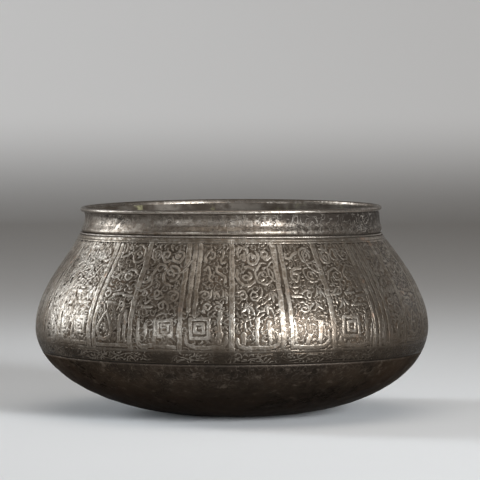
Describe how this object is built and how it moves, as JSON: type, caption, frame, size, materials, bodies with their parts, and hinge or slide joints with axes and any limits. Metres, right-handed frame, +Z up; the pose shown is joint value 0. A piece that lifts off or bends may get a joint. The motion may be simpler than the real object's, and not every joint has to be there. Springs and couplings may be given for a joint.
{
  "type": "engraved metal bowl",
  "caption": "Round-bellied tinned copper bowl with a sloping engraved shoulder, a short waisted neck and a wired lip.",
  "frame": {"origin": "centre of the flat that the bowl stands on", "axes": "+Z up along the bowl's axis, +X to the right and -Y towards the viewer as in the picture"},
  "size_m": [0.2356, 0.2356, 0.1248],
  "materials": {
    "tinned_copper": "worn, darkened tin over copper",
    "browned_copper": "dark brown patina with worn tin",
    "black_composition": "dull black resin composition in the cut ground",
    "soft_solder": "dull grey tin solder",
    "iron_wire": "dark iron wire"
  },
  "bodies": {
    "root": {"lower_bowl": "browned_copper", "shoulder_wall": "tinned_copper", "field_filling": "black_composition", "border_filling": "black_composition", "neck_collar": "tinned_copper", "rim_wire": "iron_wire", "neck_moulding": "tinned_copper", "girth_solder": "soft_solder", "neck_solder": "soft_solder"}
  },
  "joints": []
}
